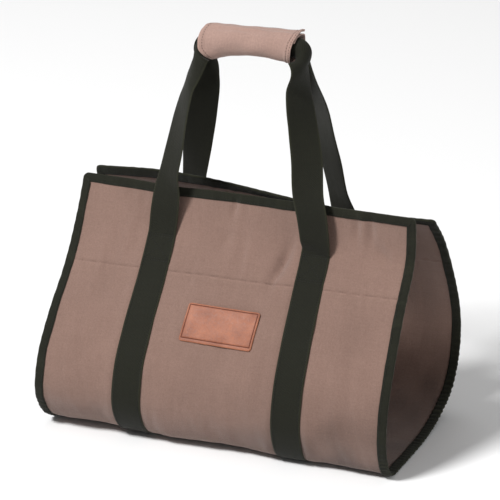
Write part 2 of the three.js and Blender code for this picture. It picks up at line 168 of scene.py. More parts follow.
def catmull_rom(rows, places, dims=None):
    """Centripetal curve through rows, at places from 0 to 1. Knots follow the first dims columns."""
    rows = np.asarray(rows, float)
    dims = rows.shape[1] if dims is None else dims
    ext = np.vstack([2 * rows[0] - rows[1], rows, 2 * rows[-1] - rows[-2]])
    place = np.clip(places, 0, 1) * (len(rows) - 1)
    k = np.minimum(np.floor(place).astype(int), len(rows) - 2)
    w = (place - k)[:, None]
    p0, p1, p2, p3 = ext[k], ext[k + 1], ext[k + 2], ext[k + 3]

    def knot(a, b):
        return np.sum((b - a)[:, :dims] ** 2, axis=1)[:, None] ** 0.25

    d0, d1, d2 = knot(p0, p1), knot(p1, p2), knot(p2, p3)
    t1 = ((p1 - p0) / d0 - (p2 - p0) / (d0 + d1) + (p2 - p1) / d1) * d1
    t2 = ((p2 - p1) / d1 - (p3 - p1) / (d1 + d2) + (p3 - p2) / d2) * d1
    cubic = 2 * p1 - 2 * p2 + t1 + t2
    square = -3 * p1 + 3 * p2 - 2 * t1 - t2
    return p1 + t1 * w + square * w ** 2 + cubic * w ** 3


def run_of(points):
    """Length of the path up to each of its points"""
    return np.concatenate([[0], np.cumsum(np.linalg.norm(np.diff(points, axis=0), axis=1))])


def rows_at(points, run, at):
    """Rows of a path at the given lengths along it"""
    return np.stack([np.interp(at, run, column) for column in points.T], axis=-1)


def even_section(points, count=2000):
    dense = catmull_rom(points, np.linspace(0, 1, 12001))
    run = run_of(dense)
    return rows_at(dense, run, np.linspace(0, run[-1], count + 1)), run[-1]


section_table = np.array(SECTIONS)
LEFT, left_length = even_section(section_table[:, :2] * [CARRIER_DEPTH, CARRIER_HEIGHT])
RIGHT, right_length = even_section(section_table[:, 2:] * [CARRIER_DEPTH, CARRIER_HEIGHT])
WRAP = (left_length + right_length) / 2
BASE_JOIN = BASE_JOIN_SHARE * WRAP


def smoothstep(value, low, high):
    t = np.clip((value - low) / (high - low), 0, 1)
    return t * t * (3 - 2 * t)


def bump_at(x, s, x0, s0, wide, tall, lean=0.0):
    """Smooth hill of height 1 round (x0, s0); lean tilts it along x as s grows"""
    across = x - x0 - lean * (s - s0)
    return np.exp(-(across / wide) ** 2 - ((s - s0) / tall) ** 2)


def ripple(x, s, seed, wavelength, count=14, stretch=(1.0, 1.0)):
    """Smooth seeded noise between about -1 and 1, built from plane waves"""
    rng = np.random.RandomState(seed)
    total = np.zeros(np.broadcast(x, s).shape)
    for _ in range(count):
        heading = rng.uniform(0, 2 * math.pi)
        length = wavelength * rng.uniform(0.7, 1.5)
        phase = rng.uniform(0, 2 * math.pi)
        wave = math.cos(heading) * x / stretch[0] + math.sin(heading) * s / stretch[1]
        total = total + np.sin(2 * math.pi * wave / length + phase)
    return total / math.sqrt(count)


def bare_canvas(x, s):
    """Outer face of the sling with no folds"""
    x, s = np.broadcast_arrays(np.asarray(x, float), np.asarray(s, float))
    share = np.clip(s / WRAP, 0, 1)
    place = share * (len(LEFT) - 1)
    k = np.minimum(place.astype(int), len(LEFT) - 2)
    w = (place - k)[..., None]
    left = LEFT[k] * (1 - w) + LEFT[k + 1] * w
    right = RIGHT[k] * (1 - w) + RIGHT[k + 1] * w
    mix = (x / CARRIER_LENGTH + 0.5)[..., None]
    point = left * (1 - mix) + right * mix
    height = np.maximum(point[..., 1], 0)
    span = 1 - smoothstep(np.abs(2 * x / CARRIER_LENGTH), *SETTLE_SPAN)
    settled = BASE_SETTLE * span * smoothstep(share, *SETTLE_SHARES) * np.exp(-height / SETTLE_REACH)
    felt = np.maximum(0, 1 - (WRAP - s) / SWAY_REACH)
    sway = -BACK_EDGE_SWAY * np.sin(2 * math.pi * x / CARRIER_LENGTH) * felt ** 2
    height = np.maximum(height - settled, 0) + sway + BASE_LIFT
    return np.stack([x, point[..., 0], height], axis=-1) + FRAME_OFFSET


def bare_normal(x, s):
    reach = 3.0
    lengthwise = bare_canvas(x + reach, s) - bare_canvas(x - reach, s)
    high = np.minimum(s + reach, WRAP)
    low = np.maximum(s - reach, 0)
    round_ = bare_canvas(x, high) - bare_canvas(x, low)
    normal = -np.cross(lengthwise, round_)
    return normal / np.linalg.norm(normal, axis=-1, keepdims=True)


# Dents and swells: x, s, half width, half length, lean of x along s, and height
DENTS = [
    (60, 86, 7.5, 24, -0.30, -8.6),
    (78, 80, 9, 26, -0.25, 1.6),
    (-15, 20, 4.2, 13, -0.15, -3.4),
    (-5, 24, 6, 16, -0.15, 0.8),
    (-21, 62, 7, 13, -0.1, -3.2),
    (5, 78, 6, 26, 0.0, -2.8),
    (14, 74, 7, 28, 0.0, 0.8),
    (-62, 60, 12, 40, -0.1, 1.0),
    (158, 26, 5, 16, 0.0, -3.4),
    (168, 30, 5, 18, 0.0, 1.0),
    (178, 28, 5, 18, 0.0, -3.6),
    (197, 56, 10, 13, 0.5, -3.2),
    (-166, 17, 5, 12, -0.2, -1.5),
    (-145, 22, 7, 16, -0.1, -1.2),
    (-156, 62, 9, 34, -0.2, 1.2),
    (8, 126, 10, 8, 0.0, -0.8),
    (68, 122, 7, 10, 0.0, -1.1),
    (172, 116, 9, 9, 0.0, -1.2),
    (132, 158, 12, 12, 0.2, -1.1),
    (-52, 118, 10, 4, 0.0, -0.9),
    (150, 240, 26, 34, 0.1, -1.4),
    (-30, 806, 7, 30, 0.2, -2.6),
    (48, 822, 6, 26, -0.2, -2.2),
    (170, 812, 8, 30, 0.1, -2.4),
    (-172, 800, 9, 34, -0.1, -2.4),
]
SEAM_LEFT = 116.0
SEAM_RIGHT = 107.0


def seam_at(x):
    """Where the stitched hem seam crosses the front panel, along the wrap"""
    return SEAM_LEFT + (SEAM_RIGHT - SEAM_LEFT) * (x / CARRIER_LENGTH + 0.5)


def strap_distance(x):
    """Distance from the nearest strap's edge, negative under a strap"""
    return np.minimum(*[np.abs(x - c) for c in STRAP_CENTRES]) - WEBBING_WIDTH / 2


def relief(x, s):
    """Folds, sags and seams of the cloth, as a height off its outer face"""
    x, s = np.broadcast_arrays(np.asarray(x, float), np.asarray(s, float))
    edge = np.minimum(HALF_LENGTH - np.abs(x), np.minimum(s, WRAP - s))
    free = smoothstep(edge, 6, 60)
    sewn = smoothstep(strap_distance(x), -4, 26)
    base = smoothstep(np.abs(s / WRAP - 0.505), 0.07, 0.13)
    slack = free * sewn * base
    height = 1.5 * slack * ripple(x, s, 3, 150.0, stretch=(0.8, 1.2))
    height += 0.45 * base * free * ripple(x, s, 5, 46.0, stretch=(0.7, 1.6))
    height += 0.16 * base * ripple(x, s, 8, 17.0, stretch=(0.8, 1.7))
    # soft dents of the front panel and of the back one
    for x0, s0, wide, tall, lean, rise in DENTS:
        height += rise * bump_at(x, s, x0, s0, wide, tall, lean)
    # the back panel's top stands up straighter than the leaning panel below it
    below_edge = (WRAP - s) / 16.0
    height -= 4.5 * below_edge ** 2 * np.exp(1 - below_edge ** 2) * smoothstep(-x, 0, 120)
    # long shallow folds that hang from the straps' edges
    for centre in STRAP_CENTRES:
        for side in (-1, 1):
            rail = centre + side * (WEBBING_WIDTH / 2 + 7)
            height += 0.7 * np.exp(-((x - rail) / 5.0) ** 2) * base * smoothstep(edge, 2, 24)
    # the hem seam pulls the cloth in, in small puckers
    seam = seam_at(x)
    away = s - seam
    pucker = 0.6 + 0.4 * np.sin(2 * math.pi * x / 13.0 + 2.2 * ripple(x, 0 * x, 12, 90.0))
    height += 0.35 * np.exp(-((away + 6.0) / 4.0) ** 2)
    radiating = np.sin(2 * math.pi * x / 15.0 + 3.0 * ripple(x, 0 * x, 15, 110.0))
    for distance in (away, s - (WRAP - seam)):
        height -= 0.75 * pucker * np.exp(-(distance / 2.2) ** 2)
        height += 0.28 * radiating * np.exp(-(distance / 11.0) ** 2) * sewn
    # the tape draws the cloth's edge into small waves
    tape = np.exp(-((HALF_LENGTH - np.abs(x)) / 16.0) ** 2)
    height += 0.35 * tape * np.sin(2 * math.pi * s / 17.0 + 2.5 * ripple(0 * s, s, 21, 120.0)) * base
    return height


def front_sag(x, s):
    """The front top edge hangs a little low between its left corner and the middle"""
    return -2.4 * np.exp(-((x + 105) / 42.0) ** 2) * smoothstep(120 - s, 0, 110)


def back_corner(x, s):
    """The back panel's top left corner leans towards the front"""
    return -8.0 * smoothstep(-x, 140, 240) * smoothstep(70 - (WRAP - s), 0, 60)


def off_canvas(x, s, offset, folds=1.0):
    """A point held off the outer face of the cloth, outwards when offset is positive"""
    x, s = np.broadcast_arrays(np.asarray(x, float), np.asarray(s, float))
    point = bare_canvas(x, s)
    normal = bare_normal(x, s)
    point = point + normal * (offset + folds * relief(x, s))[..., None]
    point[..., 1] += back_corner(x, s)
    point[..., 2] += front_sag(x, s)
    return point


# Mesh helpers
def signed_volume(points, quads):
    a, b, c, d = (points[quads[:, i]] for i in range(4))
    first = np.einsum("ij,ij->i", a, np.cross(b, c)).sum()
    second = np.einsum("ij,ij->i", a, np.cross(c, d)).sum()
    return first + second


def add_mesh(name, points, quads, uv, material, caps=(), sharp=40.0, tone=None):
    """One object from millimetre points and quads, with its cloth coordinates in millimetres"""
    points = np.asarray(points, float)
    quads = np.asarray(quads, int)
    if signed_volume(points, quads) < 0:
        quads = quads[:, ::-1]
        caps = [list(cap)[::-1] for cap in caps]
    faces = quads.tolist() + [list(cap) for cap in caps]
    mesh = bpy.data.meshes.new(name)
    mesh.from_pydata((points * 0.001).tolist(), [], faces)
    layer = mesh.uv_layers.new(name="cloth")
    corners = np.zeros(len(mesh.loops), int)
    mesh.loops.foreach_get("vertex_index", corners)
    layer.data.foreach_set("uv", (np.asarray(uv, float) * 0.001)[corners].ravel())
    if tone is not None:
        attribute = mesh.attributes.new("tone", "FLOAT", "POINT")
        attribute.data.foreach_set("value", np.asarray(tone, float).ravel())
    mesh.polygons.foreach_set("use_smooth", [True] * len(mesh.polygons))
    mesh.set_sharp_from_angle(angle=math.radians(sharp))
    mesh.materials.append(material)
    mesh.update()
    piece = bpy.data.objects.new(name, mesh)
    bpy.context.collection.objects.link(piece)
    return piece


def sheet_faces(rows, columns):
    """Quads of a closed sheet made of an outer grid followed by an inner grid"""
    index = np.arange(rows * columns).reshape(rows, columns)
    under = index + rows * columns

    def band(a, b):
        return np.stack([a[:-1], a[1:], b[1:], b[:-1]], axis=-1)

    def cells(grid):
        corners = [grid[:-1, :-1], grid[1:, :-1], grid[1:, 1:], grid[:-1, 1:]]
        return np.stack(corners, axis=-1).reshape(-1, 4)

    top = cells(index)
    low = cells(under)[:, [0, 3, 2, 1]]
    sides = [
        band(index[:, 0], under[:, 0])[:, ::-1],
        band(index[:, -1], under[:, -1]),
        band(index[0, :], under[0, :]),
        band(index[-1, :], under[-1, :])[:, ::-1],
    ]
    return np.vstack([top, low] + sides)


def thick_sheet(name, outer, inner, coordinates, material, tone, sharp=50.0):
    rows, columns = outer.shape[:2]
    points = np.vstack([outer.reshape(-1, 3), inner.reshape(-1, 3)])
    uv = np.vstack([coordinates.reshape(-1, 2)] * 2)
    shade = np.concatenate([tone.ravel()] * 2)
    return add_mesh(name, points, sheet_faces(rows, columns), uv, material, sharp=sharp, tone=shade)


def tube_faces(rows, around, closed):
    index = np.arange(rows * around).reshape(rows, around)
    after = np.roll(index, -1, axis=0)
    parts = [index, np.roll(index, -1, axis=1), np.roll(after, -1, axis=1), after]
    if not closed:
        parts = [part[:-1] for part in parts]
    return np.stack(parts, axis=-1).reshape(-1, 4)


def profile_tube(name, rings, coordinates, material, closed, tone):
    rows, around = rings.shape[:2]
    caps = []
    if not closed:
        first = list(range(around))
        last = [(rows - 1) * around + k for k in range(around)]
        caps = [first[::-1], last]
    quads = tube_faces(rows, around, closed)
    flat = coordinates.reshape(-1, 2)
    return add_mesh(name, rings.reshape(-1, 3), quads, flat, material, caps, 60.0, tone.ravel())


# Rings of one stitch: place as a share of its length, then girth and lift as shares of its radius
STITCH_RINGS = [
    (-0.5, 0.35, -0.9),
    (-0.36, 0.85, -0.1),
    (-0.12, 1.0, 0.25),
    (0.12, 1.0, 0.25),
    (0.36, 0.85, -0.1),
    (0.5, 0.35, -0.9),
]
STITCH_SINK = 0.25


def stitch_row(centres, along, outward, length, radius):
    """Points and quads of one thread pill for each stitch, half sunk in the cloth"""
    sides = 6
    turn = np.arange(sides) * 2 * math.pi / sides
    along = along / np.linalg.norm(along, axis=-1, keepdims=True)
    outward = outward - along * np.sum(outward * along, axis=-1, keepdims=True)
    outward = outward / np.linalg.norm(outward, axis=-1, keepdims=True)
    across = np.cross(along, outward)
    template = []
    for place, girth, lift in STITCH_RINGS:
        for angle in turn:
            template.append((
                place * length,
                math.cos(angle) * girth * radius,
                math.sin(angle) * girth * radius + lift * radius - STITCH_SINK * radius,
            ))
    template = np.array(template)
    points = centres[:, None, :] + template @ np.stack([along, across, outward], axis=1)
    count = len(STITCH_RINGS)
    quads = tube_faces(count, sides, False)
    first = np.array([[0, 5, 4, 1], [1, 4, 3, 2]])
    last = (count - 1) * sides + first[:, ::-1]
    one = np.vstack([quads, first, last])
    return points, one


def add_stitches(name, rows, material):
    """One object for many stitch rows, each a tuple for stitch_row"""
    points, quads = [], []
    start = 0
    for row in rows:
        block, one = stitch_row(*row)
        number, size = block.shape[:2]
        shift = start + np.arange(number)[:, None, None] * size
        points.append(block.reshape(-1, 3))
        quads.append((one[None] + shift).reshape(-1, 4))
        start += number * size
    points = np.vstack(points)
    quads = np.vstack(quads)
    return add_mesh(name, points, quads, points[:, [0, 2]], material, sharp=80.0)


def path_stitches(points, outward, pitch, length, radius):
    """Stitches at an even pitch along a dense path"""
    run = run_of(points)
    count = max(1, int(run[-1] / pitch))
    at = (np.arange(count) + 0.5) * run[-1] / count
    along = rows_at(points, run, at + 0.8) - rows_at(points, run, at - 0.8)
    return rows_at(points, run, at), along, rows_at(outward, run, at), length, radius


# Node helpers for the materials
def new_material(name):
    material = bpy.data.materials.new(name)
    material.use_nodes = True
    tree = material.node_tree
    tree.nodes.clear()
    output = tree.nodes.new("ShaderNodeOutputMaterial")
    shader = tree.nodes.new("ShaderNodeBsdfPrincipled")
    tree.links.new(shader.outputs["BSDF"], output.inputs["Surface"])
    return material, tree, shader


def plug(tree, value, socket):
    if isinstance(value, bpy.types.NodeSocket):
        tree.links.new(value, socket)
    else:
        socket.default_value = value


def sums(tree, operation, first, second=0.0, third=None):
    node = tree.nodes.new("ShaderNodeMath")
    node.operation = operation
    plug(tree, first, node.inputs[0])
    plug(tree, second, node.inputs[1])
    if third is not None:
        plug(tree, third, node.inputs[2])
    return node.outputs[0]


def cloth_axes(tree):
    """The cloth coordinates in metres, across and along"""
    place = tree.nodes.new("ShaderNodeUVMap")
    place.uv_map = "cloth"
    split = tree.nodes.new("ShaderNodeSeparateXYZ")
    tree.links.new(place.outputs["UV"], split.inputs[0])
    return split.outputs[0], split.outputs[1]


def vector_of(tree, x, y, z=0.0):
    node = tree.nodes.new("ShaderNodeCombineXYZ")
    plug(tree, x, node.inputs[0])
    plug(tree, y, node.inputs[1])
    plug(tree, z, node.inputs[2])
    return node.outputs[0]


def noise_of(tree, vector, scale, detail=2.0, roughness=0.5):
    node = tree.nodes.new("ShaderNodeTexNoise")
    node.inputs["Scale"].default_value = scale
    node.inputs["Detail"].default_value = detail
    node.inputs["Roughness"].default_value = roughness
    if vector is None:
        where = tree.nodes.new("ShaderNodeTexCoord")
        vector = where.outputs["Object"]
    tree.links.new(vector, node.inputs["Vector"])
    return node.outputs[0]


def colour_mix(tree, factor, first, second, blend="MIX"):
    node = tree.nodes.new("ShaderNodeMix")
    node.data_type = "RGBA"
    node.blend_type = blend
    plug(tree, factor, node.inputs[0])
    plug(tree, first, node.inputs[6])
    plug(tree, second, node.inputs[7])
    return node.outputs[2]


def weave_height(tree, across, along, pitch_across, pitch_along):
    """Plain weave from 0 to 1: each thread rises over one neighbour and dips under the next"""
    cu = sums(tree, "MULTIPLY", across, math.pi / pitch_across)
    cv = sums(tree, "MULTIPLY", along, math.pi / pitch_along)
    sin_u = sums(tree, "SINE", cu)
    sin_v = sums(tree, "SINE", cv)
    cos_u = sums(tree, "COSINE", cu)
    cos_v = sums(tree, "COSINE", cv)
    warp = sums(tree, "MULTIPLY_ADD", sums(tree, "MULTIPLY", sin_u, cos_v), 0.5,
                sums(tree, "MULTIPLY", sums(tree, "ABSOLUTE", sin_u), 0.5))
    weft = sums(tree, "MULTIPLY_ADD", sums(tree, "MULTIPLY", cos_u, sin_v), -0.5,
                sums(tree, "MULTIPLY", sums(tree, "ABSOLUTE", sin_v), 0.5))
    return sums(tree, "MAXIMUM", warp, weft)


def bump_node(tree, height, strength, distance, under=None):
    node = tree.nodes.new("ShaderNodeBump")
    node.inputs["Strength"].default_value = strength
    node.inputs["Distance"].default_value = distance
    tree.links.new(height, node.inputs["Height"])
    if under is not None:
        tree.links.new(under, node.inputs["Normal"])
    return node.outputs["Normal"]


def tone_value(tree):
    node = tree.nodes.new("ShaderNodeAttribute")
    node.attribute_name = "tone"
    return node.outputs["Fac"]


def ranged(tree, value, low, high, to_low, to_high):
    node = tree.nodes.new("ShaderNodeMapRange")
    plug(tree, value, node.inputs["Value"])
    node.inputs["From Min"].default_value = low
    node.inputs["From Max"].default_value = high
    node.inputs["To Min"].default_value = to_low
    node.inputs["To Max"].default_value = to_high
    return node.outputs["Result"]


def stretched_noise(tree, across, across_scale, along, along_scale, detail):
    """Noise with its own scale along each thread direction"""
    x = sums(tree, "MULTIPLY", across, across_scale)
    y = sums(tree, "MULTIPLY", along, along_scale)
    return noise_of(tree, vector_of(tree, x, y), 1.0, detail)


def woven_material(name, colours, pitch, rough, bump, sheen, streak, bright=1.45):
    """Cloth with threads at a real pitch, streaks along both threads and blotches of tone"""
    material, tree, shader = new_material(name)
    across, along = cloth_axes(tree)
    weave = weave_height(tree, across, along, pitch[0], pitch[1])
    fine = stretched_noise(tree, across, 1 / pitch[0], along, 70.0, 2.0)
    cross = stretched_noise(tree, across, 70.0, along, 1 / pitch[1], 2.0)
    wide = stretched_noise(tree, across, 160.0, along, 18.0, 3.0)
    tall = stretched_noise(tree, across, 18.0, along, 160.0, 3.0)
    blotch = noise_of(tree, None, 14.0, 4.0, 0.55)
    slub = noise_of(tree, vector_of(tree, across, along), 420.0, 3.0, 0.6)
    threads = sums(tree, "ADD", fine, cross)
    bands = sums(tree, "ADD", wide, tall)
    mixed = sums(tree, "ADD", sums(tree, "MULTIPLY", threads, streak),
                 sums(tree, "MULTIPLY", bands, streak * 0.4))
    mixed = sums(tree, "MULTIPLY_ADD", blotch, 0.5, mixed)
    mixed = sums(tree, "MULTIPLY_ADD", sums(tree, "SUBTRACT", slub, 0.5), 1.1, mixed)
    share = ranged(tree, mixed, 0.7 * streak + 0.1, 2.1 * streak + 0.4, 0.0, 1.0)
    base = colour_mix(tree, share, (*colours[0], 1), (*colours[1], 1))
    pits = ranged(tree, weave, 0.0, 0.75, 0.74, 1.06)
    grey = vector_of(tree, pits, pits, pits)
    base = colour_mix(tree, 1.0, base, grey, "MULTIPLY")
    tone = tone_value(tree)
    dim = ranged(tree, tone, -1.0, 0.0, 0.55, 1.0)
    shade = sums(tree, "MULTIPLY", dim, ranged(tree, tone, 0.0, 1.0, 1.0, bright))
    base = colour_mix(tree, 1.0, base, vector_of(tree, shade, shade, shade), "MULTIPLY")
    tree.links.new(base, shader.inputs["Base Color"])
    dull = ranged(tree, threads, 0.6, 1.4, rough - 0.06, rough + 0.06)
    tree.links.new(dull, shader.inputs["Roughness"])
    soft = sums(tree, "MULTIPLY_ADD", bands, 0.8, sums(tree, "MULTIPLY", threads, 0.6))
    slow = bump_node(tree, soft, 0.35, 0.0009)
    tree.links.new(bump_node(tree, weave, bump, 0.0005, slow), shader.inputs["Normal"])
    shader.inputs["Sheen Weight"].default_value = sheen
    shader.inputs["Sheen Roughness"].default_value = 0.5
    shader.inputs["Specular IOR Level"].default_value = 0.14
    return material


def thread_material(name, colour):
    material, tree, shader = new_material(name)
    grain = noise_of(tree, None, 900.0, 2.0)
    dark = tuple(0.7 * c for c in colour)
    base = colour_mix(tree, ranged(tree, grain, 0.3, 0.7, 0.0, 1.0), (*dark, 1), (*colour, 1))
    tree.links.new(base, shader.inputs["Base Color"])
    tree.links.new(ranged(tree, grain, 0.3, 0.7, 0.55, 0.7), shader.inputs["Roughness"])
    tree.links.new(bump_node(tree, grain, 0.5, 0.0003), shader.inputs["Normal"])
    shader.inputs["Specular IOR Level"].default_value = 0.35
    return material


def leather_material():
    material, tree, shader = new_material("tanned_leather")
    cloud = noise_of(tree, None, 42.0, 5.0, 0.6)
    fleck = noise_of(tree, None, 260.0, 4.0, 0.65)
    share = sums(tree, "MULTIPLY_ADD", fleck, 0.45, sums(tree, "MULTIPLY", cloud, 0.75))
    share = ranged(tree, share, 0.36, 0.76, 0.0, 1.0)
    base = colour_mix(tree, share, (0.155, 0.044, 0.019, 1), (0.300, 0.108, 0.056, 1))
    tone = tone_value(tree)
    burn = ranged(tree, tone, -1.0, 0.0, 1.0, 0.0)
    base = colour_mix(tree, burn, base, (0.050, 0.007, 0.004, 1))
    pale = ranged(tree, tone, 0.0, 1.0, 0.0, 1.0)
    base = colour_mix(tree, pale, base, (0.36, 0.150, 0.080, 1))
    tree.links.new(base, shader.inputs["Base Color"])
    cells = tree.nodes.new("ShaderNodeTexVoronoi")
    cells.inputs["Scale"].default_value = 1100.0
    where = tree.nodes.new("ShaderNodeTexCoord")
    tree.links.new(where.outputs["Object"], cells.inputs["Vector"])
    pores = ranged(tree, cells.outputs["Distance"], 0.0, 0.6, 0.0, 1.0)
    height = sums(tree, "MULTIPLY_ADD", fleck, 0.8, pores)
    tree.links.new(bump_node(tree, height, 0.35, 0.00035), shader.inputs["Normal"])
    tree.links.new(ranged(tree, fleck, 0.3, 0.7, 0.42, 0.58), shader.inputs["Roughness"])
    shader.inputs["Specular IOR Level"].default_value = 0.3
    return material


# Dark and light thread colour, thread pitch in metres, roughness, bump, sheen, streaks and brightness
canvas_cloth = woven_material(
    "washed_canvas", ((0.160, 0.0975, 0.077), (0.242, 0.152, 0.122)),
    (0.00078, 0.00078), 0.88, 0.45, 0.25, 0.5)
grip_cloth = woven_material(
    "grip_canvas", ((0.258, 0.166, 0.136), (0.372, 0.245, 0.205)),
    (0.00078, 0.00078), 0.88, 0.45, 0.25, 0.5)
webbing_cloth = woven_material(
    "ribbed_webbing", ((0.0045, 0.0047, 0.0020), (0.0115, 0.0118, 0.0062)),
    (0.0016, 0.0011), 0.74, 0.55, 0.07, 0.5, 4.0)
tape_cloth = woven_material(
    "binding_twill", ((0.0055, 0.0058, 0.0028), (0.0145, 0.0148, 0.0085)),
    (0.0008, 0.0006), 0.80, 0.45, 0.07, 0.5, 4.0)
patch_leather = leather_material()
canvas_thread = thread_material("canvas_thread", (0.20, 0.115, 0.090))
dark_thread = thread_material("dark_thread", (0.0035, 0.0035, 0.0025))
grip_thread = thread_material("grip_thread", (0.085, 0.045, 0.034))

BODY = "root"


def keep(piece, slot, *nodes):
    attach(piece, BODY)
    if nodes:
        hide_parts(*nodes)
    return piece


# Canvas panel
CANVAS_INSET = BINDING_WALL + GAP
CANVAS_CORNER = 6.7


def canvas_rows():
    spacing = np.concatenate([
        np.linspace(CANVAS_INSET + CANVAS_CORNER, 100, 34),
        np.linspace(101.2, 124, 20),
        np.linspace(127, WRAP - 127, 200),
        np.linspace(WRAP - 124, WRAP - 101.2, 20),
        np.linspace(WRAP - 100, WRAP - CANVAS_INSET - CANVAS_CORNER, 34),
    ])
    arc = CANVAS_CORNER * (1 - np.cos(np.linspace(0, math.pi / 2, 7)))[:-1]
    return np.concatenate([CANVAS_INSET + arc, spacing, (WRAP - CANVAS_INSET - arc)[::-1]])


def canvas_panel():
    rows = canvas_rows()
    near = np.minimum(rows - CANVAS_INSET, WRAP - CANVAS_INSET - rows)
    into = np.maximum(CANVAS_CORNER - near, 0)
    short = CANVAS_CORNER - np.sqrt(np.maximum(CANVAS_CORNER ** 2 - into ** 2, 0))
    half = HALF_LENGTH - CANVAS_INSET - np.where(near < CANVAS_CORNER, short, 0)
    x = half[:, None] * np.linspace(-1, 1, 141)[None, :]
    s = np.broadcast_to(rows[:, None], x.shape)
    outer = off_canvas(x, s, 0.0)
    inner = off_canvas(x, s, -CANVAS_WALL)
    away = s - seam_at(x)
    broken = 0.5 + 0.5 * ripple(x, 0 * x, 33, 14.0)
    # a darker line in the hem seam's crease, with a paler line just below it
    tone = broken * (-0.55 * np.exp(-away ** 2) + 0.28 * np.exp(-(away - 2.2) ** 2))
    tone += 0.05 * ripple(x, s, 31, 120.0)
    # painted shade: the cloth is darkened under and just beside the straps
    tone -= 0.05 * np.exp(-np.maximum(strap_distance(x), 0) / 5.0)
    # painted shade: the cloth is darkened towards the base, most of all at the right end, where the
    # light falls off
    low_right_painted_shade = smoothstep(s, 215, 330) * smoothstep(WRAP - s, 215, 330)
    tone -= low_right_painted_shade * (0.10 + 0.70 * smoothstep(x, -60, 210)) * (1 + 0.3 * ripple(x, s, 37, 60.0))
    # painted shade: the cloth is darkened just inside the binding tape, where the tape stands proud of
    # it
    edge = np.minimum(HALF_LENGTH - np.abs(x), np.minimum(s, WRAP - s)) - BINDING_WIDTH
    tone -= 0.06 * np.exp(-np.maximum(edge, 0) / 5.0)
    coordinates = np.stack([x, s], axis=-1)
    piece = thick_sheet("canvas_panel_cloth", outer, inner, coordinates, canvas_cloth, tone)
    return keep(piece, "canvas", "canvas_panel")


# Binding tape, one length round the whole edge
TAPE_RADIUS = 7.0
CORNER_STATIONS = 12
TAPE_STATIONS = [200, 400, 200, 400]


def tape_path(inset):
    """Places on the edge line of the panel, moved inwards by inset and rounded at its corners"""
    radius = max(TAPE_RADIUS - inset, 0.35)
    half = HALF_LENGTH - inset
    low, high = inset, WRAP - inset
    corners = [(-half, low, 1, 1), (half, low, -1, 1), (half, high, -1, -1), (-half, high, 1, -1)]
    xs, ss = [], []
    for k, (cx, cs, dx, ds) in enumerate(corners):
        centre = (cx + dx * radius, cs + ds * radius)
        start = [math.pi, -math.pi / 2, 0, math.pi / 2][k]
        turn = start + np.linspace(0, math.pi / 2, CORNER_STATIONS)
        arc_x = centre[0] + radius * np.cos(turn)
        arc_s = centre[1] + radius * np.sin(turn)
        xs.append(arc_x)
        ss.append(arc_s)
        nx, ns, ndx, nds = corners[(k + 1) % 4]
        following = (nx + ndx * radius, ns + nds * radius)
        after = [-math.pi / 2, 0, math.pi / 2, math.pi][k]
        target = (following[0] + radius * math.cos(after), following[1] + radius * math.sin(after))
        share = np.linspace(0, 1, TAPE_STATIONS[k] + 2)[1:-1]
        xs.append(arc_x[-1] + (target[0] - arc_x[-1]) * share)
        ss.append(arc_s[-1] + (target[1] - arc_s[-1]) * share)
    return np.concatenate(xs), np.concatenate(ss)


